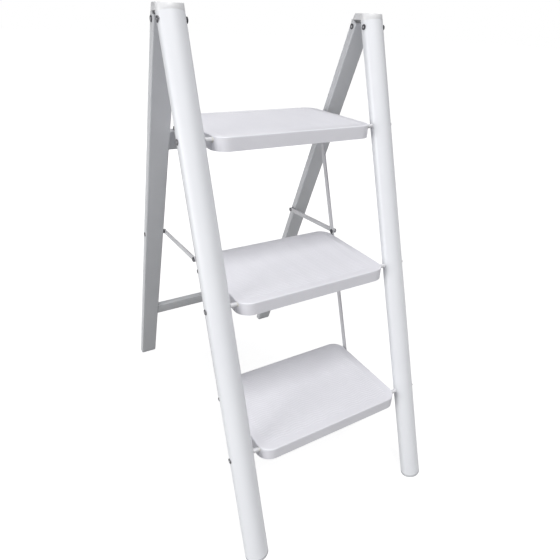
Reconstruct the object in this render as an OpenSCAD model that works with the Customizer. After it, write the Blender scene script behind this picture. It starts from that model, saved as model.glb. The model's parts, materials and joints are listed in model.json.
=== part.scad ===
// Folding three-step ladder: two oval front stiles, flat rear legs hinged in top caps,
// three pressed treads on cross axles, and a link-bar and brace linkage that folds it flat.

/* [Overall] */
// Distance between the centre lines of the two front stiles
stile_spacing = 384; // [320:1:520]
// Height of the flat top of the hinge caps above the floor
cap_top = 893; // [740:1:1100]
// Rise of the cap's flat top above the end of the stile tube, measured on its centre line
cap_rise = 13; // [9:1:15]
// Lean of the front stiles from the vertical, in degrees
front_lean = 19; // [17:0.5:21]
// Lean of the rear legs from the vertical, in degrees
rear_lean = 22.3; // [20:0.1:25]

/* [Front stiles] */
// Width of the oval stile tube, side to side
stile_w = 45; // [38:0.5:56]
// Depth of the oval stile tube, front to back
stile_d = 32; // [28:0.5:40]
// Radius of the two tight side arcs of the oval
stile_side_r = 11.5; // [9:0.5:13]
// Wall of the stile tube
stile_wall = 1.5; // [1:0.1:2.5]
// Height of the foot plug's lip below the tube
stile_foot_lip = 5; // [3:0.5:10]
// Length of the foot plug inside the tube
stile_foot_insert = 22; // [12:1:40]

/* [Rear frame] */
// Width of the rear leg tube, side to side
leg_w = 39.5; // [32:0.5:44]
// Depth of the rear leg tube, front to back
leg_d = 15.5; // [14:0.5:20]
// Wall of the rear leg tube
leg_wall = 1.5; // [1:0.1:2]
// Corner radius of the rear leg tube
leg_corner = 2.5; // [1.6:0.1:4]
// Drop from the flat top of the hinge caps to the hinge pin
hinge_drop = 22.3; // [20:0.1:25]
// Distance from the stile's centre line back to the hinge pin, level with it
hinge_back = 35.5; // [35:0.1:44]
// Height of the rear foot's lip below the leg tube
leg_foot_lip = 6; // [4:0.5:12]
// Length of the rear foot plug inside the leg
leg_foot_insert = 20; // [12:1:40]
// Height of the upper crossbar, along the leg
upper_bar_h = 40; // [24:1:60]
// Depth of the upper crossbar's flanges
upper_bar_d = 10.5; // [6:0.5:14]
// Setback of the upper crossbar's web behind the front face of the legs
upper_bar_setback = 13.5; // [13:0.1:16]
// Height of the lower crossbar, along the leg
lower_bar_h = 32; // [20:1:50]
// Depth of the lower crossbar
lower_bar_d = 12; // [8:0.5:14]
// Height of the lower crossbar's centre above the floor
lower_bar_z = 182; // [120:1:240]
// Sheet thickness of both crossbars
bar_wall = 1.5; // [1:0.1:2.5]

/* [Steps] */
// Depth of a tread, front to back
tread_d = 213; // [200:1:214]
// Drop from the flat top of the hinge caps to the highest tread's top surface
top_step_drop = 182; // [178:1:190]
// Rise from one tread to the next
step_rise = 257.5; // [252:0.5:257.5]
// Depth of the tread's turned-down skirt
skirt_h = 24; // [23.5:0.5:27]
// Sheet thickness of the tread
tread_sheet = 1.5; // [1:0.1:2]
// Corner radius of the tread in plan
tread_corner = 27; // [24:1:34]
// Outer radius of the bend between the tread's top and its skirt
tread_bend = 2.5; // [2:0.5:4]
// Distance from the tread's front edge back to the stile's centre line, at the tread's top
tread_front = 22; // [18:0.5:26]
// Gap between an axle bush and the underside of the tread's top
bush_room = 0.2; // [0.1:0.05:0.5]
// Width of the stiffening channel under a tread
stiffener_w = 54; // [30:1:90]
// Depth of the stiffening channel under a tread
stiffener_h = 12; // [6:0.5:18]
// Setback of the stiffening channel's ends from the tread's sides
stiffener_inset = 19; // [17:1:60]

/* [Axles and fasteners] */
// Outside diameter of the step axles
axle_dia = 8; // [7:0.1:10]
// Diameter of the brace bolts, the cap bolts and the link pins
bolt_dia = 6; // [5:0.1:6.4]
// Diameter of the bolts in the ends of the axles
axle_bolt_dia = 5; // [4:0.1:5.6]
// Diameter of a fastener's head
head_dia = 9.8; // [9:0.1:11.4]
// Height of a fastener's head
head_h = 1; // [0.8:0.1:3.4]
// Diameter of the hinge pin
hinge_pin_dia = 8; // [6:0.1:8.6]
// Length of thread that an axle bolt has inside the axle
axle_grip = 15; // [8:1:40]
// Wall of the nylon axle bushes, with their running clearance
bush_wall = 0.8; // [0.5:0.1:1]

/* [Link bars and braces] */
// Width of the link bars and braces
link_w = 10; // [9:0.1:10.6]
// Thickness of the link bars and braces
link_t = 3; // [2:0.1:3]
// Distance from the stile's centre line back to the link bar, level with it
link_back = 165.5; // [164:0.1:166.5]
// Depth of the link pins below the axle
link_drop = 12.5; // [12:0.1:13]
// Drop from the flat top of the hinge caps to the brace's front pivot on the link bar
brace_front_drop = 435; // [431:0.1:436]
// Drop from the flat top of the hinge caps to the brace's rear pivot on the rear leg
brace_rear_drop = 447.1; // [443:0.1:453]
// Length of the spacer between a brace and the rear leg
spacer_l = 3.45; // [1:0.05:8]
// Gap between the tread's side and the link bar
link_gap = 1.5; // [1.2:0.1:1.8]

/* [Clearances] */
// Radial clearance of a turning fit
running = 0.08; // [0.02:0.01:0.1]
// Clearance of a plug in its tube, each side
plug_fit = 0.15; // [0.1:0.01:0.3]
// Gap between pieces that slide past each other
side_gap = 0.3; // [0.2:0.05:0.5]

/* [Hidden] */
$fn = 64;
stile_top = cap_top - cap_rise;
hinge_z = cap_top - hinge_drop;
top_step_z = cap_top - top_step_drop;
brace_front_z = cap_top - brace_front_drop;
brace_rear_z = cap_top - brace_rear_drop;
stile_x = stile_spacing / 2;
stile_in = stile_x - stile_w / 2;
stile_out = stile_x + stile_w / 2;
leg_in = stile_x - leg_w / 2;
leg_out = stile_x + leg_w / 2;
step_zs = [top_step_z - 2 * step_rise, top_step_z - step_rise, top_step_z];
pin_head_h = 1.4;
pin_head_dia = 8;
brace_out = leg_in - spacer_l - side_gap;
brace_in = brace_out - link_t;
link_out = brace_in - pin_head_h - 2 * side_gap;
link_in = link_out - link_t;
tread_side = link_in - link_gap;
tread_w = 2 * tread_side;
stiffener_l = tread_w - 2 * stiffener_inset;
bush_dia = axle_dia + 2 * bush_wall;
axle_drop = tread_sheet + bush_room + bush_dia / 2;
lug_r = 5.9;
lug_front = 2.4;
ear_r = 10.5;
leg_open_below = 9;
leg_front_top = 9;
cap_block_h = 10.6;
cap_insert = 34;
cap_rear_reach = 0.5;
cap_rear_slope = 6;
nut_h = 2.4;
foot_corner = 5;
tall = 1400;
deep = 400;

front_reach = stile_d / 2 / cos(front_lean);
rear_reach = hinge_z * (tan(front_lean) + tan(rear_lean)) + hinge_back + leg_d / 2 / cos(rear_lean);
mid_y = (rear_reach - front_reach) / 2;

function stile_y(z) = z * tan(front_lean) - mid_y;
hinge_y = stile_y(hinge_z) + hinge_back;
function leg_y(z) = hinge_y + (hinge_z - z) * tan(rear_lean);
function axle_z(top) = top - axle_drop;
function link_z(top) = axle_z(top) - link_drop;
function link_y(z) = stile_y(z) + link_back;
brace_front = [link_y(brace_front_z), brace_front_z];
brace_rear = [leg_y(brace_rear_z), brace_rear_z];
brace_rise = atan2(brace_front[1] - brace_rear[1], brace_rear[0] - brace_front[0]);
// How far the tread's rounded corner curves in from its side, at a distance behind its front edge.
function corner_inset(d) = d < tread_corner ? tread_corner - sqrt(d * (2 * tread_corner - d)) : 0;
axle_behind = tread_front - axle_drop * tan(front_lean);
bush_out = tread_side - corner_inset(axle_behind);
bush_l = 9;
cap_bolt_forward = 3;
cap_bolt_y = stile_y(hinge_z) - cap_bolt_forward;
top_skirt_z = step_zs[2] - skirt_h;
upper_bar_rear = upper_bar_setback + upper_bar_d - leg_d / 2;
upper_bar_top = (top_skirt_z - side_gap - hinge_z - upper_bar_rear * sin(rear_lean)) / cos(rear_lean);

// ---- placing ----

// The right-hand piece, or its mirror image on the left.
module side(s) {
    if (s < 0) mirror([1, 0, 0]) children();
    else children();
}

module both_sides() {
    for (s = [-1, 1]) side(s) children();
}

// Local Z runs up the stile's centre line from the floor.
module along_stile() {
    translate([stile_x, stile_y(0), 0]) rotate([-front_lean, 0, 0]) children();
}

// Local origin on the hinge pin, local -Z runs down the middle of the rear leg.
module along_leg() {
    translate([0, hinge_y, hinge_z]) rotate([rear_lean, 0, 0]) children();
}

// A cylinder along X from x1 to x2 at the given place in the side view.
module x_rod(x1, x2, y, z, dia) {
    translate([x1, y, z]) rotate([0, 90, 0]) cylinder(d = dia, h = x2 - x1);
}

module above(z) {
    translate([-tall / 2, -tall / 2, z]) cube([tall, 2 * tall, tall]);
}

module between_heights(z1, z2) {
    translate([-tall / 2, -tall / 2, z1]) cube([tall, 2 * tall, z2 - z1]);
}

// ---- outlines ----

// An oval of four tangent arcs: two of side_r at the sides and two wide ones front and back.
module oval(w, d, side_r) {
    reach = w / 2 - side_r;
    rise = d / 2 - side_r;
    drop = (reach * reach - rise * rise) / (2 * rise);
    wide_r = drop + d / 2;
    join_x = wide_r * reach / norm([reach, drop]);
    for (s = [-1, 1]) translate([s * reach, 0]) circle(r = side_r, $fn = 96);
    intersection() {
        translate([0, drop]) circle(r = wide_r, $fn = 180);
        translate([0, -drop]) circle(r = wide_r, $fn = 180);
        square([2 * join_x, d], center = true);
    }
}

module rounded_rect(w, d, r) {
    square([w - 2 * r, d], center = true);
    square([w, d - 2 * r], center = true);
    for (x = [-1, 1], y = [-1, 1]) translate([x * (w / 2 - r), y * (d / 2 - r)]) circle(r = r);
}

// Half section of a bent sheet: a flat of length reach, then a bend, then a skirt down to -drop.
module bent_sheet(reach, drop, bend, sheet) {
    difference() {
        union() {
            translate([0, -drop]) square([reach, drop - bend]);
            translate([0, -drop]) square([reach - bend, drop]);
            translate([reach - bend, -bend]) circle(r = bend);
        }
        translate([-1, -drop - 1]) square([reach - sheet + 1, drop - bend + 1]);
        translate([-1, -drop - 1]) square([reach - bend + 1, drop - sheet + 1]);
        translate([reach - bend, -bend]) circle(r = bend - sheet);
    }
}

// A shallow upturned pan whose top is at z = 0, bent down all round.
module pan(w, d, corner, drop, bend, sheet) {
    flat_w = w - 2 * corner;
    flat_d = d - 2 * corner;
    translate([-flat_w / 2, -flat_d / 2, -sheet]) cube([flat_w, flat_d, sheet]);
    for (turn = [0, 180]) rotate(turn) {
        translate([flat_w / 2, flat_d / 2, 0]) {
            rotate_extrude(angle = 90) bent_sheet(corner, drop, bend, sheet);
        }
        translate([-flat_w / 2, flat_d / 2, 0]) rotate(90) {
            rotate_extrude(angle = 90) bent_sheet(corner, drop, bend, sheet);
        }
        translate([flat_w / 2, flat_d / 2, 0]) rotate([90, 0, 0]) {
            linear_extrude(flat_d) bent_sheet(corner, drop, bend, sheet);
        }
        translate([-flat_w / 2, flat_d / 2, 0]) rotate([90, 0, 90]) {
            linear_extrude(flat_w) bent_sheet(corner, drop, bend, sheet);
        }
    }
}

// ---- fasteners ----

// A low domed head with a hexagon socket; it starts at x and rises towards +X.
module socket_head(x, y, z, dia = head_dia, h = head_h) {
    dome = h / 3;
    socket = dia * 0.42;
    translate([x, y, z]) rotate([0, 90, 0]) difference() {
        union() {
            cylinder(d = dia, h = h - dome);
            translate([0, 0, h - dome]) cylinder(d1 = dia, d2 = dia - 2.4 * dome, h = dome);
        }
        translate([0, 0, h / 3]) cylinder(d = socket, h = h, $fn = 6);
    }
}

// The same head turned to face -X; it ends at x.
module socket_head_inward(x, y, z, dia = head_dia, h = head_h) {
    translate([2 * x, 0, 0]) mirror([1, 0, 0]) socket_head(x, y, z, dia, h);
}

// ---- front frame ----

module stile(s) {
    color("white") side(s) difference() {
        intersection() {
            along_stile() linear_extrude(stile_top / cos(front_lean)) difference() {
                oval(stile_w, stile_d, stile_side_r);
                oval(stile_w - 2 * stile_wall, stile_d - 2 * stile_wall, stile_side_r - stile_wall);
            }
            above(stile_foot_lip);
        }
        for (top = step_zs) {
            x_rod(stile_in - 1, stile_out + 1, stile_y(axle_z(top)), axle_z(top), axle_bolt_dia + 2 * running);
        }
        x_rod(stile_in - 1, stile_out + 1, cap_bolt_y, hinge_z, bolt_dia + 2 * running);
    }
}

module stile_foot(s) {
    inner_w = stile_w - 2 * (stile_wall + plug_fit);
    inner_d = stile_d - 2 * (stile_wall + plug_fit);
    color("gainsboro") side(s) {
        intersection() {
            along_stile() translate([0, 0, -deep / 2]) linear_extrude(deep) {
                oval(stile_w, stile_d, stile_side_r);
            }
            between_heights(0, stile_foot_lip);
        }
        intersection() {
            along_stile() translate([0, 0, -deep / 2]) linear_extrude(deep) {
                oval(inner_w, inner_d, stile_side_r - stile_wall - plug_fit);
            }
            between_heights(stile_foot_lip, stile_foot_lip + stile_foot_insert);
        }
    }
}

// Caps the stile, reaches back over the rear leg and carries the hinge lug that hangs into it.
module hinge_cap(s) {
    lug_w = leg_w - 2 * (leg_wall + side_gap);
    block_z = cap_top - cap_block_h;
    rear_y = hinge_y + cap_rear_reach;
    top_len = stile_top / cos(front_lean);
    inner_w = stile_w - 2 * (stile_wall + plug_fit);
    inner_d = stile_d - 2 * (stile_wall + plug_fit);
    color("whitesmoke") side(s) difference() {
        union() {
            intersection() {
                along_stile() translate([0, 0, top_len]) linear_extrude(deep) {
                    oval(stile_w, stile_d, stile_side_r);
                }
                between_heights(0, cap_top);
            }
            along_stile() translate([0, 0, top_len - cap_insert]) linear_extrude(cap_insert) {
                oval(inner_w, inner_d, stile_side_r - stile_wall - plug_fit);
            }
            translate([leg_in, 0, 0]) rotate([90, 0, 90]) linear_extrude(leg_w) {
                polygon([
                    [stile_y(block_z), block_z], [rear_y, block_z],
                    [rear_y - cap_rear_slope, cap_top], [stile_y(cap_top), cap_top]
                ]);
            }
            translate([stile_x - lug_w / 2, 0, 0]) rotate([90, 0, 90]) linear_extrude(lug_w) {
                translate([hinge_y, hinge_z]) circle(r = lug_r);
                translate([hinge_y - lug_front, hinge_z]) square([lug_front + lug_r, block_z - hinge_z + 1]);
            }
        }
        x_rod(leg_in, leg_out, hinge_y, hinge_z, hinge_pin_dia + running);
        x_rod(stile_in - 1, stile_out + 1, cap_bolt_y, hinge_z, bolt_dia + running);
    }
}

module cap_bolts() {
    color("dimgray") both_sides() {
        socket_head(stile_out, cap_bolt_y, hinge_z);
        x_rod(stile_in, stile_out, cap_bolt_y, hinge_z, bolt_dia);
    }
}

module cap_nuts() {
    color("dimgray") both_sides() socket_head_inward(stile_in, cap_bolt_y, hinge_z);
}

module hinge_pins() {
    color("dimgray") both_sides() {
        socket_head(leg_out + side_gap, hinge_y, hinge_z);
        x_rod(leg_in - side_gap, leg_out + side_gap, hinge_y, hinge_z, hinge_pin_dia);
    }
}

module hinge_pin_nuts() {
    color("dimgray") both_sides() socket_head_inward(leg_in - side_gap, hinge_y, hinge_z);
}

module step_axle(top) {
    color("white") difference() {
        x_rod(-stile_in, stile_in, stile_y(axle_z(top)), axle_z(top), axle_dia);
        for (x = [-stile_in - 1, stile_in - axle_grip - 1]) {
            x_rod(x, x + axle_grip + 2, stile_y(axle_z(top)), axle_z(top), axle_bolt_dia + running);
        }
    }
}

module axle_bolts() {
    color("dimgray") both_sides() for (top = step_zs) {
        socket_head(stile_out, stile_y(axle_z(top)), axle_z(top));
        x_rod(stile_in - axle_grip, stile_out, stile_y(axle_z(top)), axle_z(top), axle_bolt_dia);
    }
}

// ---- rear frame ----

// The tube runs on past its open rear as two round ears and a short front wall.
module rear_leg(s) {
    inner_w = leg_w - 2 * leg_wall;
    color("white") side(s) difference() {
        intersection() {
            along_leg() translate([stile_x, 0, -tall]) linear_extrude(tall + ear_r) difference() {
                rounded_rect(leg_w, leg_d, leg_corner);
                rounded_rect(inner_w, leg_d - 2 * leg_wall, leg_corner - leg_wall);
            }
            along_leg() translate([leg_in - 1, 0, 0]) rotate([90, 0, 90]) linear_extrude(leg_w + 2) {
                translate([-leg_d, -tall]) square([2 * leg_d, tall]);
                circle(r = ear_r);
                translate([-leg_d, -1]) square([leg_d / 2 + leg_wall, leg_front_top + 1]);
            }
            above(leg_foot_lip);
        }
        along_leg() translate([stile_x - inner_w / 2, leg_wall - leg_d / 2, -leg_open_below]) {
            cube([inner_w, leg_d, leg_open_below + 2 * ear_r]);
        }
        x_rod(leg_in - 1, leg_out + 1, hinge_y, hinge_z, hinge_pin_dia + 2 * running);
        x_rod(leg_in - 1, leg_out + 1, brace_rear[0], brace_rear[1], bolt_dia + running);
    }
}

module rear_foot(s) {
    inner_w = leg_w - 2 * (leg_wall + plug_fit);
    inner_d = leg_d - 2 * (leg_wall + plug_fit);
    color("gainsboro") side(s) {
        intersection() {
            along_leg() translate([stile_x, 0, -tall]) linear_extrude(tall / 2) {
                rounded_rect(leg_w, leg_d, leg_corner);
            }
            translate([stile_x, 2 * deep, 0]) rotate([90, 0, 0]) linear_extrude(2 * deep) {
                translate([-leg_w / 2, foot_corner]) square([leg_w, leg_foot_lip - foot_corner]);
                translate([foot_corner - leg_w / 2, 0]) square([leg_w - 2 * foot_corner, leg_foot_lip]);
                for (x = [-1, 1]) translate([x * (leg_w / 2 - foot_corner), foot_corner]) {
                    circle(r = foot_corner);
                }
            }
            between_heights(0, leg_foot_lip);
        }
        intersection() {
            along_leg() translate([stile_x, 0, -tall]) linear_extrude(tall / 2) {
                rounded_rect(inner_w, inner_d, leg_corner - leg_wall - plug_fit);
            }
            between_heights(leg_foot_lip, leg_foot_lip + leg_foot_insert);
        }
    }
}

// A channel, open to the rear, on whose top flange the highest tread comes to rest.
module upper_crossbar() {
    front = upper_bar_setback - leg_d / 2;
    color("white") along_leg() {
        translate([-leg_in, front, upper_bar_top - upper_bar_h]) difference() {
            cube([2 * leg_in, upper_bar_d, upper_bar_h]);
            translate([-1, bar_wall, bar_wall]) {
                cube([2 * leg_in + 2, upper_bar_d, upper_bar_h - 2 * bar_wall]);
            }
        }
    }
}

module lower_crossbar() {
    drop = (hinge_z - lower_bar_z) / cos(rear_lean);
    color("white") along_leg() translate([-leg_in, 0, -drop]) rotate([90, 0, 90]) {
        linear_extrude(2 * leg_in) difference() {
            square([lower_bar_d, lower_bar_h], center = true);
            square([lower_bar_d - 2 * bar_wall, lower_bar_h - 2 * bar_wall], center = true);
        }
    }
}

module brace_bolts() {
    color("dimgray") both_sides() {
        socket_head_inward(brace_in - side_gap, brace_rear[0], brace_rear[1]);
        x_rod(brace_in - side_gap, leg_out, brace_rear[0], brace_rear[1], bolt_dia);
    }
}

module brace_bolt_nuts() {
    color("dimgray") both_sides() socket_head(leg_out, brace_rear[0], brace_rear[1]);
}

module brace_spacers() {
    spacer_dia = 9;
    color("dimgray") both_sides() difference() {
        x_rod(brace_out + side_gap, leg_in, brace_rear[0], brace_rear[1], spacer_dia);
        x_rod(brace_out, leg_in + 1, brace_rear[0], brace_rear[1], bolt_dia + running);
    }
}

// ---- steps ----

module tread(top) {
    front = stile_y(top) - tread_front;
    color("white") difference() {
        translate([0, front + tread_d / 2, top]) {
            pan(tread_w, tread_d, tread_corner, skirt_h, tread_bend, tread_sheet);
        }
        x_rod(-tread_side - 1, tread_side + 1, stile_y(axle_z(top)), axle_z(top), bush_dia + running);
        x_rod(-tread_side - 1, tread_side + 1, link_y(link_z(top)), link_z(top), bolt_dia + running);
    }
}

module stiffener(top) {
    centre = stile_y(top) - tread_front + tread_d / 2;
    color("lightgray") translate([-stiffener_l / 2, centre - stiffener_w / 2, top - tread_sheet - stiffener_h]) {
        difference() {
            cube([stiffener_l, stiffener_w, stiffener_h]);
            translate([-1, tread_sheet, tread_sheet]) {
                cube([stiffener_l + 2, stiffener_w - 2 * tread_sheet, stiffener_h]);
            }
        }
    }
}

module bushes(top) {
    y = stile_y(axle_z(top));
    z = axle_z(top);
    color("ivory") both_sides() difference() {
        x_rod(bush_out - bush_l, bush_out, y, z, bush_dia);
        x_rod(bush_out - bush_l - 1, bush_out + 1, y, z, axle_dia + 2 * running);
    }
}

module link_pins(top) {
    y = link_y(link_z(top));
    z = link_z(top);
    inner = tread_side - tread_sheet;
    color("dimgray") both_sides() {
        x_rod(inner - pin_head_h, inner, y, z, pin_head_dia);
        x_rod(inner, link_out + side_gap, y, z, bolt_dia);
        x_rod(tread_side, link_in - side_gap, y, z, pin_head_dia);
        x_rod(link_out + side_gap, link_out + side_gap + pin_head_h, y, z, pin_head_dia);
    }
}

// ---- linkage ----

module link_bar(s) {
    low = link_z(step_zs[0]);
    high = link_z(step_zs[2]);
    span = (high - low) / cos(front_lean);
    color("white") side(s) difference() {
        translate([link_in, link_y(low), low]) rotate([-front_lean, 0, 0]) {
            translate([0, -link_w / 2, 0]) cube([link_t, link_w, span]);
            for (h = [0, span]) x_rod(0, link_t, 0, h, link_w);
        }
        for (top = step_zs) {
            x_rod(link_in - 1, link_out + 1, link_y(link_z(top)), link_z(top), bolt_dia + 2 * running);
        }
        x_rod(link_in - 1, link_out + 1, brace_front[0], brace_front[1], bolt_dia + running);
    }
}

module link_stud(s) {
    color("dimgray") side(s) {
        x_rod(tread_side + side_gap, link_in, brace_front[0], brace_front[1], head_dia);
        x_rod(link_in, brace_in - side_gap, brace_front[0], brace_front[1], bolt_dia);
    }
}

module brace(s) {
    span = norm(brace_front - brace_rear);
    color("white") side(s) difference() {
        translate([brace_in, brace_rear[0], brace_rear[1]]) rotate([-brace_rise, 0, 0]) {
            translate([0, -span, -link_w / 2]) cube([link_t, span, link_w]);
            for (y = [0, -span]) x_rod(0, link_t, y, 0, link_w);
        }
        for (p = [brace_front, brace_rear]) {
            x_rod(brace_in - 1, brace_out + 1, p[0], p[1], bolt_dia + 2 * running);
        }
    }
}

module brace_nut(s) {
    color("dimgray") side(s) {
        socket_head(brace_out, brace_front[0], brace_front[1], head_dia, nut_h);
        x_rod(brace_in, brace_out, brace_front[0], brace_front[1], bolt_dia);
    }
}

stile(-1);  // stile_left
stile(1);  // stile_right
stile_foot(-1);  // stile_foot_left
stile_foot(1);  // stile_foot_right
hinge_cap(-1);  // hinge_cap_left
hinge_cap(1);  // hinge_cap_right
cap_bolts();
cap_nuts();
hinge_pins();
hinge_pin_nuts();
step_axle(step_zs[0]);  // axle_bottom
step_axle(step_zs[1]);  // axle_middle
step_axle(step_zs[2]);  // axle_top
axle_bolts();
rear_leg(-1);  // rear_leg_left
rear_leg(1);  // rear_leg_right
rear_foot(-1);  // rear_foot_left
rear_foot(1);  // rear_foot_right
upper_crossbar();
lower_crossbar();
brace_bolts();
brace_bolt_nuts();
brace_spacers();
tread(step_zs[0]);  // tread_bottom
tread(step_zs[1]);  // tread_middle
tread(step_zs[2]);  // tread_top
stiffener(step_zs[0]);  // stiffener_bottom
stiffener(step_zs[1]);  // stiffener_middle
stiffener(step_zs[2]);  // stiffener_top
bushes(step_zs[0]);  // bushes_bottom
bushes(step_zs[1]);  // bushes_middle
bushes(step_zs[2]);  // bushes_top
link_pins(step_zs[0]);  // link_pins_bottom
link_pins(step_zs[1]);  // link_pins_middle
link_pins(step_zs[2]);  // link_pins_top
link_bar(-1);  // link_bar_left
link_bar(1);  // link_bar_right
link_stud(-1);  // link_stud_left
link_stud(1);  // link_stud_right
brace(-1);  // brace_left
brace(1);  // brace_right
brace_nut(-1);  // brace_nut_left
brace_nut(1);  // brace_nut_right
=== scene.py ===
"""Looks of the folding step ladder: finishes, softened edges, anti-slip ribs, light and camera."""
import json
import math

import bmesh
import bpy
import numpy as np
from mathutils import Matrix, Vector


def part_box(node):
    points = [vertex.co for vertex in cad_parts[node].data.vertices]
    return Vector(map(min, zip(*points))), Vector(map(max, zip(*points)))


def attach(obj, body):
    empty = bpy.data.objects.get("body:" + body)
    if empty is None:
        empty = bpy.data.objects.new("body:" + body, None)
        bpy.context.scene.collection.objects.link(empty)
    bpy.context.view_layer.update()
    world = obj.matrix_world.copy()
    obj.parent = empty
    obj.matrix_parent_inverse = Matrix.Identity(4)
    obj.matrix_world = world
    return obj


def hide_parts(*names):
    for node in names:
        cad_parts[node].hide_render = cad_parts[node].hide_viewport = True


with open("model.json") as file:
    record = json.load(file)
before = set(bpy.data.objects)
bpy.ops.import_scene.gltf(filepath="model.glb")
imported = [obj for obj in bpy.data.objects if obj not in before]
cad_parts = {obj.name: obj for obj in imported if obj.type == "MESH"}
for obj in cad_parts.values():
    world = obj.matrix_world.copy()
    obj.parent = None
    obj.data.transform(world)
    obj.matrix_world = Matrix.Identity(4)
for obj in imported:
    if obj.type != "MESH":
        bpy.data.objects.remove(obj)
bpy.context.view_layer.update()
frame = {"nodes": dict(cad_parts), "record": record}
RECORD = frame["record"]
BODY_OF = {n: b for b, members in RECORD["behaviour"]["bodies"].items() for n in members}
SLOT_OF = {s["node"]: s["material_slot"] for s in RECORD["subparts"]}

MM = 0.001
BUMP_STRENGTH = 0.6
MERGE_DISTANCE = 0.002 * MM
FLAT_ANGLE = math.radians(0.4)
SHARP_ANGLE = math.radians(38.0)
SOCKET_REACH = 2.2 * MM


# ---------------------------------------------------------------- node helpers

def new_group(name, inputs, outputs):
    """An empty shader node group with the given sockets: (name, kind, default)."""
    group = bpy.data.node_groups.new(name, "ShaderNodeTree")
    for label, kind, value in inputs:
        socket = group.interface.new_socket(name=label, in_out="INPUT", socket_type=kind)
        if value is not None:
            socket.default_value = value
    for label, kind in outputs:
        group.interface.new_socket(name=label, in_out="OUTPUT", socket_type=kind)
    return group, group.nodes.new("NodeGroupInput"), group.nodes.new("NodeGroupOutput")


def math_node(tree, kind, a, b=None, c=None, clamp=False):
    node = tree.nodes.new("ShaderNodeMath")
    node.operation = kind
    node.use_clamp = clamp
    for index, value in enumerate((a, b, c)):
        if value is None:
            continue
        if isinstance(value, (int, float)):
            node.inputs[index].default_value = value
        else:
            tree.links.new(value, node.inputs[index])
    return node.outputs[0]


def noise(tree, vector, scale, detail=3.0, rough=0.5):
    node = tree.nodes.new("ShaderNodeTexNoise")
    for name, value in (("Scale", scale), ("Detail", detail), ("Roughness", rough)):
        if isinstance(value, (int, float)):
            node.inputs[name].default_value = value
        else:
            tree.links.new(value, node.inputs[name])
    tree.links.new(vector, node.inputs["Vector"])
    return node.outputs["Fac"]


def ramp(tree, value, low, high, out_low=0.0, out_high=1.0):
    node = tree.nodes.new("ShaderNodeMapRange")
    node.clamp = True
    node.interpolation_type = "SMOOTHSTEP"
    node.inputs["From Min"].default_value = low
    node.inputs["From Max"].default_value = high
    node.inputs["To Min"].default_value = out_low
    node.inputs["To Max"].default_value = out_high
    tree.links.new(value, node.inputs["Value"])
    return node.outputs["Result"]


def mix_colour(tree, factor, a, b, blend="MIX"):
    node = tree.nodes.new("ShaderNodeMix")
    node.data_type = "RGBA"
    node.blend_type = blend
    for socket, value in ((node.inputs["Factor"], factor), (node.inputs["A"], a), (node.inputs["B"], b)):
        if isinstance(value, (int, float)):
            socket.default_value = value
        elif isinstance(value, tuple):
            socket.default_value = value
        else:
            tree.links.new(value, socket)
    return node.outputs["Result"]


# ---------------------------------------------------------------- shared effects

def powder_coat_group():
    """Powder coat: a fine orange-peel height, with faint clouding and a few dull scuffs."""
    tree, src, out = new_group(
        "powder_coat",
        [("Vector", "NodeSocketVector", None), ("Colour", "NodeSocketColor", (0.8, 0.8, 0.8, 1)),
         ("Tint", "NodeSocketColor", (0.7, 0.7, 0.72, 1)), ("Peel Scale", "NodeSocketFloat", 700.0),
         ("Roughness", "NodeSocketFloat", 0.4), ("Scuffs", "NodeSocketFloat", 0.2)],
        [("Colour", "NodeSocketColor"), ("Roughness", "NodeSocketFloat"), ("Height", "NodeSocketFloat")])
    vector = src.outputs["Vector"]
    cloud = ramp(tree, noise(tree, vector, 9.0, 4.0), 0.35, 0.72)
    speck = ramp(tree, noise(tree, vector, 420.0, 2.0), 0.66, 0.78)
    streak_map = tree.nodes.new("ShaderNodeMapping")
    streak_map.inputs["Scale"].default_value = (14.0, 90.0, 30.0)
    tree.links.new(vector, streak_map.inputs["Vector"])
    scuff = ramp(tree, noise(tree, streak_map.outputs["Vector"], 3.0, 6.0, 0.62), 0.60, 0.74)
    scuff = math_node(tree, "MULTIPLY", scuff, src.outputs["Scuffs"])
    toned = mix_colour(tree, math_node(tree, "MULTIPLY", cloud, 0.35), src.outputs["Colour"],
                       src.outputs["Tint"])
    toned = mix_colour(tree, math_node(tree, "MULTIPLY", speck, 0.12), toned, src.outputs["Tint"])
    toned = mix_colour(tree, math_node(tree, "MULTIPLY", scuff, 0.5), toned, src.outputs["Tint"])
    tree.links.new(toned, out.inputs["Colour"])
    peel = noise(tree, vector, src.outputs["Peel Scale"], 2.0, 0.4)
    rough = math_node(tree, "ADD", src.outputs["Roughness"], math_node(tree, "MULTIPLY", cloud, 0.06))
    rough = math_node(tree, "ADD", rough, math_node(tree, "MULTIPLY", scuff, 0.14), clamp=True)
    tree.links.new(rough, out.inputs["Roughness"])
    tree.links.new(peel, out.inputs["Height"])
    return tree


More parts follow.
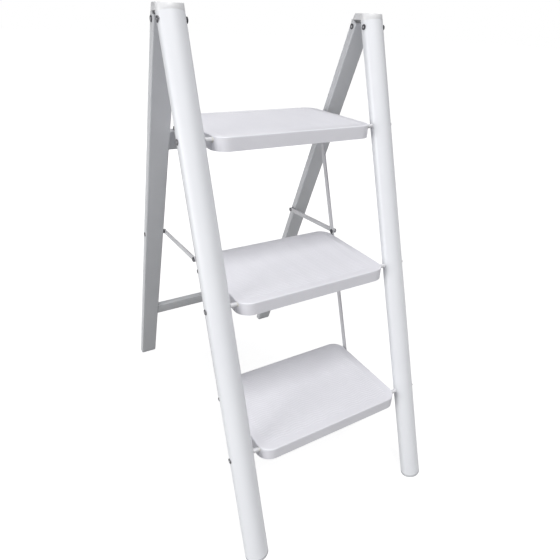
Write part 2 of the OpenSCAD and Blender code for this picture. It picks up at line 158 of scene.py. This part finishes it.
def moulded_grain_group():
    """Moulded plastic: fine pitted grain with slight blotches where the mould polish varies."""
    tree, src, out = new_group(
        "moulded_grain",
        [("Vector", "NodeSocketVector", None), ("Colour", "NodeSocketColor", (0.8, 0.8, 0.8, 1)),
         ("Tint", "NodeSocketColor", (0.7, 0.7, 0.7, 1)), ("Grain Scale", "NodeSocketFloat", 900.0),
         ("Roughness", "NodeSocketFloat", 0.5)],
        [("Colour", "NodeSocketColor"), ("Roughness", "NodeSocketFloat"), ("Height", "NodeSocketFloat")])
    vector = src.outputs["Vector"]
    blotch = ramp(tree, noise(tree, vector, 38.0, 3.0), 0.38, 0.68)
    cells = tree.nodes.new("ShaderNodeTexVoronoi")
    tree.links.new(vector, cells.inputs["Vector"])
    tree.links.new(src.outputs["Grain Scale"], cells.inputs["Scale"])
    pits = ramp(tree, cells.outputs["Distance"], 0.0, 0.55)
    toned = mix_colour(tree, math_node(tree, "MULTIPLY", blotch, 0.45), src.outputs["Colour"],
                       src.outputs["Tint"])
    tree.links.new(toned, out.inputs["Colour"])
    rough = math_node(tree, "ADD", src.outputs["Roughness"], math_node(tree, "MULTIPLY", blotch, 0.1))
    tree.links.new(rough, out.inputs["Roughness"])
    tree.links.new(pits, out.inputs["Height"])
    return tree


def plated_group():
    """Zinc plate: drawn lines along one axis, spangle-like tone change and a painted highlight colour on
    marked socket faces.
    """
    tree, src, out = new_group(
        "zinc_plate",
        [("Vector", "NodeSocketVector", None), ("Colour", "NodeSocketColor", (0.5, 0.5, 0.5, 1)),
         ("Tint", "NodeSocketColor", (0.35, 0.35, 0.36, 1)), ("Roughness", "NodeSocketFloat", 0.35),
         ("Recess", "NodeSocketColor", (0.5, 0.5, 0.5, 1))],
        [("Colour", "NodeSocketColor"), ("Roughness", "NodeSocketFloat"), ("Height", "NodeSocketFloat")])
    vector = src.outputs["Vector"]
    spangle = tree.nodes.new("ShaderNodeTexVoronoi")
    spangle.inputs["Scale"].default_value = 160.0
    tree.links.new(vector, spangle.inputs["Vector"])
    tone = ramp(tree, spangle.outputs["Distance"], 0.1, 0.8)
    lines_map = tree.nodes.new("ShaderNodeMapping")
    lines_map.inputs["Scale"].default_value = (1.0, 34.0, 34.0)
    tree.links.new(vector, lines_map.inputs["Vector"])
    lines = noise(tree, lines_map.outputs["Vector"], 60.0, 4.0)
    toned = mix_colour(tree, tone, src.outputs["Colour"], src.outputs["Tint"])
    # Painted highlight: faces marked by this attribute take the lighter socket colour, a glint painted
    # into each dark fastener head.
    recess = tree.nodes.new("ShaderNodeAttribute")
    recess.attribute_name = "recess"
    toned = mix_colour(tree, recess.outputs["Fac"], toned, src.outputs["Recess"])
    tree.links.new(toned, out.inputs["Colour"])
    rough = math_node(tree, "ADD", src.outputs["Roughness"], math_node(tree, "MULTIPLY", lines, 0.14))
    tree.links.new(rough, out.inputs["Roughness"])
    tree.links.new(lines, out.inputs["Height"])
    return tree


POWDER = powder_coat_group()
MOULDED = moulded_grain_group()
PLATED = plated_group()


def finish_material(name, group, colour, tint, roughness, bump_mm, extras=(), metallic=0.0):
    """A Principled surface whose colour, roughness and bump come from one shared effect."""
    material = bpy.data.materials.new(name)
    material.use_nodes = True
    tree = material.node_tree
    tree.nodes.clear()
    output = tree.nodes.new("ShaderNodeOutputMaterial")
    shader = tree.nodes.new("ShaderNodeBsdfPrincipled")
    tree.links.new(shader.outputs["BSDF"], output.inputs["Surface"])
    place = tree.nodes.new("ShaderNodeTexCoord")
    effect = tree.nodes.new("ShaderNodeGroup")
    effect.node_tree = group
    tree.links.new(place.outputs["Object"], effect.inputs["Vector"])
    effect.inputs["Colour"].default_value = colour + (1.0,)
    effect.inputs["Tint"].default_value = tint + (1.0,)
    effect.inputs["Roughness"].default_value = roughness
    for label, value in extras:
        effect.inputs[label].default_value = value
    tree.links.new(effect.outputs["Colour"], shader.inputs["Base Color"])
    tree.links.new(effect.outputs["Roughness"], shader.inputs["Roughness"])
    bump = tree.nodes.new("ShaderNodeBump")
    bump.inputs["Strength"].default_value = BUMP_STRENGTH
    bump.inputs["Distance"].default_value = bump_mm * MM
    tree.links.new(effect.outputs["Height"], bump.inputs["Height"])
    tree.links.new(bump.outputs["Normal"], shader.inputs["Normal"])
    shader.inputs["Metallic"].default_value = metallic
    return material


FINISHES = {
    "stile_paint": finish_material("stile_powder_coat", POWDER, (0.85, 0.86, 0.89), (0.80, 0.81, 0.85),
                                   0.34, 0.10, (("Scuffs", 0.25), ("Peel Scale", 620.0))),
    "rear_paint": finish_material("rear_frame_powder_coat", POWDER, (0.70, 0.71, 0.73), (0.63, 0.64, 0.67),
                                  0.38, 0.10, (("Scuffs", 0.3), ("Peel Scale", 640.0))),
    "tread_paint": finish_material("tread_powder_coat", POWDER, (0.82, 0.815, 0.86), (0.76, 0.755, 0.80),
                                   0.42, 0.08, (("Scuffs", 0.5), ("Peel Scale", 760.0))),
    "axle_paint": finish_material("axle_white_paint", POWDER, (0.80, 0.80, 0.82), (0.70, 0.70, 0.73),
                                  0.36, 0.06, (("Scuffs", 0.3), ("Peel Scale", 900.0))),
    "link_paint": finish_material("link_powder_coat", POWDER, (0.72, 0.72, 0.74), (0.64, 0.64, 0.67),
                                  0.40, 0.06, (("Scuffs", 0.3), ("Peel Scale", 900.0))),
    "cap_plastic": finish_material("cap_white_plastic", MOULDED, (0.82, 0.82, 0.83), (0.77, 0.77, 0.79),
                                   0.32, 0.03, (("Grain Scale", 1500.0),)),
    "foot_plastic": finish_material("foot_grey_plastic", MOULDED, (0.60, 0.61, 0.63), (0.52, 0.53, 0.55),
                                    0.52, 0.08, (("Grain Scale", 900.0),)),
    "bush_nylon": finish_material("bush_natural_nylon", MOULDED, (0.80, 0.78, 0.72), (0.74, 0.72, 0.66),
                                  0.45, 0.03, (("Grain Scale", 1200.0),)),
    "zinc_sheet": finish_material("stiffener_zinc_plate", PLATED, (0.66, 0.67, 0.69), (0.52, 0.53, 0.55),
                                  0.36, 0.03, (), metallic=0.85),
    # Its second colour is a painted highlight: a glint painted into the socket of each dark head.
    "zinc_fastener": finish_material("fastener_black_zinc", PLATED, (0.16, 0.16, 0.17), (0.09, 0.09, 0.10),
                                     0.36, 0.03, (("Recess", (0.62, 0.62, 0.64, 1.0)),), metallic=0.7),
}


# ---------------------------------------------------------------- pieces

def mesh_piece(name, mesh, body, slot_name, smooth=True):
    """Puts a finished mesh in the scene, riding on its body, with its slot's finish."""
    piece = bpy.data.objects.new(name, mesh)
    bpy.context.scene.collection.objects.link(piece)
    mesh.materials.clear()
    mesh.materials.append(FINISHES[slot_name])
    mesh.polygons.foreach_set("use_smooth", np.full(len(mesh.polygons), smooth))
    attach(piece, body)
    return piece


def merged_copy(node, suffix):
    """A copy of a CAD node's mesh and a bmesh of it in which its loose triangles share corners."""
    mesh = frame["nodes"][node].data.copy()
    mesh.name = node + suffix
    work = bmesh.new()
    work.from_mesh(mesh)
    bmesh.ops.remove_doubles(work, verts=work.verts, dist=MERGE_DISTANCE)
    return mesh, work


def painted_socket_glints(node):
    """A copy of a fastener node with a painted highlight: the faces inside each head's socket are marked
    1, and the material paints them a lighter colour, a glint on the dark head.

    A face is marked when all its corners lie within SOCKET_REACH of the head's centre line,
    where the centre line runs along X through the middle of that separate solid.
    """
    mesh, work = merged_copy(node, "_bright_sockets")
    layer = work.faces.layers.float.new("recess")
    todo = set(work.faces)
    while todo:
        solid, edge = set(), [todo.pop()]
        while edge:
            face = edge.pop()
            solid.add(face)
            near = {other for side in face.edges for other in side.link_faces} & todo
            todo -= near
            edge.extend(near)
        points = np.array([vert.co for face in solid for vert in face.verts])
        centre = (points.min(axis=0) + points.max(axis=0)) / 2
        for face in solid:
            spread = max(math.hypot(vert.co.y - centre[1], vert.co.z - centre[2]) for vert in face.verts)
            face[layer] = 1.0 if spread < SOCKET_REACH else 0.0
    work.to_mesh(mesh)
    work.free()
    mesh.update()
    piece = mesh_piece(node + "_finished", mesh, BODY_OF[node], SLOT_OF[node], smooth=False)
    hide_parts(node)
    return piece


def softened(node, width_mm, segments=2):
    """A copy of a CAD node with its loose triangles merged into plain faces and its edges rounded."""
    mesh, work = merged_copy(node, "_softened")
    bmesh.ops.dissolve_limit(work, angle_limit=FLAT_ANGLE, verts=work.verts, edges=work.edges,
                             use_dissolve_boundaries=False)
    work.to_mesh(mesh)
    work.free()
    mesh.update()
    piece = mesh_piece(node + "_finished", mesh, BODY_OF[node], SLOT_OF[node])
    bevel = piece.modifiers.new("rounded_edges", "BEVEL")
    bevel.width = width_mm * MM
    bevel.segments = segments
    bevel.limit_method = "ANGLE"
    bevel.angle_limit = SHARP_ANGLE
    bevel.use_clamp_overlap = True
    bevel.harden_normals = True
    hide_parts(node)
    return piece


def grip_ribs(tread_node, name):
    """Wavy anti-slip ribs on a tread.

    On a grid over the tread's top, height = rib * max(0, cos(2 pi (y - sway) / pitch))^1.5, where
    sway is a sine of x, times a mask that falls to nothing at the rounded border.
    """
    low, high = (np.array(v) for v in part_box(tread_node))
    margin, corner = 13 * MM, 14 * MM
    pitch, rib, sink = 5.2 * MM, 0.45 * MM, 0.25 * MM
    sway, wave = 1.5 * MM, 42 * MM
    fade, least_rise = 4 * MM, 0.2 * MM
    x0, x1 = low[0] + margin, high[0] - margin
    y0, y1 = low[1] + margin, high[1] - margin
    nx, ny = 190, 324
    gx, gy = np.meshgrid(np.linspace(x0, x1, nx), np.linspace(y0, y1, ny))
    phase = (gy - sway * np.sin(2 * math.pi * gx / wave)) / pitch
    crest = np.clip(np.cos(2 * math.pi * phase), 0, 1) ** 1.5
    dx = np.clip(np.abs(gx - (x0 + x1) / 2) - ((x1 - x0) / 2 - corner), 0, None)
    dy = np.clip(np.abs(gy - (y0 + y1) / 2) - ((y1 - y0) / 2 - corner), 0, None)
    edge = corner - np.hypot(dx, dy)
    mask = np.clip(edge / fade, 0, 1)
    mask = mask * mask * (3 - 2 * mask)
    gz = high[2] - sink + (sink + rib) * crest * mask
    verts = np.stack([gx, gy, gz], axis=-1).reshape(-1, 3)
    index = np.arange(nx * ny).reshape(ny, nx)
    corners = [index[:-1, :-1], index[:-1, 1:], index[1:, 1:], index[1:, :-1]]
    quads = np.stack(corners, axis=-1).reshape(-1, 4)
    peak = verts[quads, 2].max(axis=1)
    quads = quads[peak > high[2] - sink + least_rise]
    used, flat = np.unique(quads, return_inverse=True)
    mesh = bpy.data.meshes.new(name)
    mesh.from_pydata(verts[used].tolist(), [], flat.reshape(-1, 4).tolist())
    mesh.update()
    return mesh_piece(name, mesh, BODY_OF[tread_node], SLOT_OF[tread_node])


for node, obj in frame["nodes"].items():
    obj.data.materials.clear()
    obj.data.materials.append(FINISHES[SLOT_OF[node]])

for side in ("left", "right"):
    softened("hinge_cap_" + side, 1.6, segments=3)
    for part, width_mm in (("stile_foot_", 1.0), ("rear_foot_", 1.2), ("link_bar_", 0.5), ("brace_", 0.5)):
        softened(part + side, width_mm)
softened("upper_crossbar", 0.6)
softened("lower_crossbar", 0.8)

# Fasteners get a painted highlight: a lighter colour in each head's socket.
for node in ("cap_bolts", "cap_nuts", "hinge_pins", "hinge_pin_nuts", "axle_bolts", "brace_bolts"):
    painted_socket_glints(node)

for level in ("top", "middle", "bottom"):
    grip_ribs("tread_" + level, "grip_ribs_" + level)


# ---------------------------------------------------------------- floor, light and camera

def white_floor():
    """A pale floor that looks white to the camera, with the object's soft contact shadow."""
    mesh = bpy.data.meshes.new("studio_floor")
    half = 30.0
    corners = [(-half, -half, 0), (half, -half, 0), (half, half, 0), (-half, half, 0)]
    mesh.from_pydata(corners, [], [(0, 1, 2, 3)])
    floor = bpy.data.objects.new("studio_floor", mesh)
    bpy.context.scene.collection.objects.link(floor)
    material = bpy.data.materials.new("floor_white")
    material.use_nodes = True
    tree = material.node_tree
    shader = tree.nodes["Principled BSDF"]
    shader.inputs["Base Color"].default_value = (0.3, 0.3, 0.3, 1)
    shader.inputs["Roughness"].default_value = 0.9
    shader.inputs["Specular IOR Level"].default_value = 0.1
    shader.inputs["Emission Color"].default_value = (1, 1, 1, 1)
    path = tree.nodes.new("ShaderNodeLightPath")
    seen = math_node(tree, "MAXIMUM", path.outputs["Is Camera Ray"], path.outputs["Is Glossy Ray"])
    place = tree.nodes.new("ShaderNodeTexCoord")
    reach = tree.nodes.new("ShaderNodeVectorMath")
    reach.operation = "LENGTH"
    tree.links.new(place.outputs["Object"], reach.inputs[0])
    glow = ramp(tree, reach.outputs["Value"], 0.6, 2.2, 0.88, 1.0)
    tree.links.new(math_node(tree, "MULTIPLY", seen, glow), shader.inputs["Emission Strength"])
    mesh.materials.append(material)


def studio_world(level):
    """A faint even light, behind which the camera sees plain white."""
    world = bpy.data.worlds.new("studio")
    bpy.context.scene.world = world
    world.use_nodes = True
    tree = world.node_tree
    tree.nodes.clear()
    out = tree.nodes.new("ShaderNodeOutputWorld")
    plain = tree.nodes.new("ShaderNodeBackground")
    plain.inputs["Color"].default_value = (0.95, 0.97, 1.0, 1)
    plain.inputs["Strength"].default_value = level
    white = tree.nodes.new("ShaderNodeBackground")
    white.inputs["Color"].default_value = (1, 1, 1, 1)
    white.inputs["Strength"].default_value = 1.0
    path = tree.nodes.new("ShaderNodeLightPath")
    seen = math_node(tree, "MAXIMUM", path.outputs["Is Camera Ray"], path.outputs["Is Transmission Ray"])
    mix = tree.nodes.new("ShaderNodeMixShader")
    tree.links.new(seen, mix.inputs["Fac"])
    tree.links.new(plain.outputs["Background"], mix.inputs[1])
    tree.links.new(white.outputs["Background"], mix.inputs[2])
    tree.links.new(mix.outputs["Shader"], out.inputs["Surface"])


def area_lamp(name, place, target, size, power):
    """A white rectangular lamp of the given size in metres and power in watts, aimed at target."""
    data = bpy.data.lights.new(name, "AREA")
    data.shape = "RECTANGLE"
    data.size, data.size_y = size
    data.energy = power
    lamp = bpy.data.objects.new(name, data)
    bpy.context.scene.collection.objects.link(lamp)
    lamp.location = place
    lamp.rotation_euler = (Vector(target) - Vector(place)).to_track_quat("-Z", "Y").to_euler()


def aimed_camera(place, yaw, pitch, roll, focal, centre_shift):
    """A camera at place, looking forward = (-sin yaw cos pitch, cos yaw cos pitch, sin pitch)."""
    forward = Vector((-math.sin(yaw) * math.cos(pitch), math.cos(yaw) * math.cos(pitch), math.sin(pitch)))
    level_right = Vector((math.cos(yaw), math.sin(yaw), 0))
    level_up = level_right.cross(forward)
    right = level_right * math.cos(roll) + level_up * math.sin(roll)
    up = level_up * math.cos(roll) - level_right * math.sin(roll)
    data = bpy.data.cameras.new("camera")
    data.sensor_width = 36.0
    data.lens = focal
    data.shift_y = centre_shift
    data.clip_start, data.clip_end = 0.02, 200
    camera = bpy.data.objects.new("camera", data)
    bpy.context.scene.collection.objects.link(camera)
    camera.matrix_world = Matrix.Translation(place) @ Matrix((right, up, -forward)).transposed().to_4x4()
    bpy.context.scene.camera = camera


white_floor()
studio_world(0.16)
middle = (0.0, 0.0, 0.45)
area_lamp("key_front_above", (-0.1, -2.2, 4.9), middle, (2.6, 2.6), 188)
area_lamp("softbox_left", (-3.4, -1.0, 1.1), middle, (1.5, 1.5), 62)
area_lamp("fill_rear", (0.9, 3.2, 0.8), middle, (2.0, 2.0), 22)

mounts = {mount["name"]: Vector(mount["pos_m"]) for mount in RECORD["mounts"]}
front_foot_y = mounts["stile_foot_left_face"].y
eye = Vector((-0.4517, -0.4666 + front_foot_y, 0.8742))
aimed_camera(eye, yaw=-0.546, pitch=-0.481, roll=0.042, focal=30.46, centre_shift=-0.01977)
bpy.context.scene.view_settings.view_transform = "Standard"
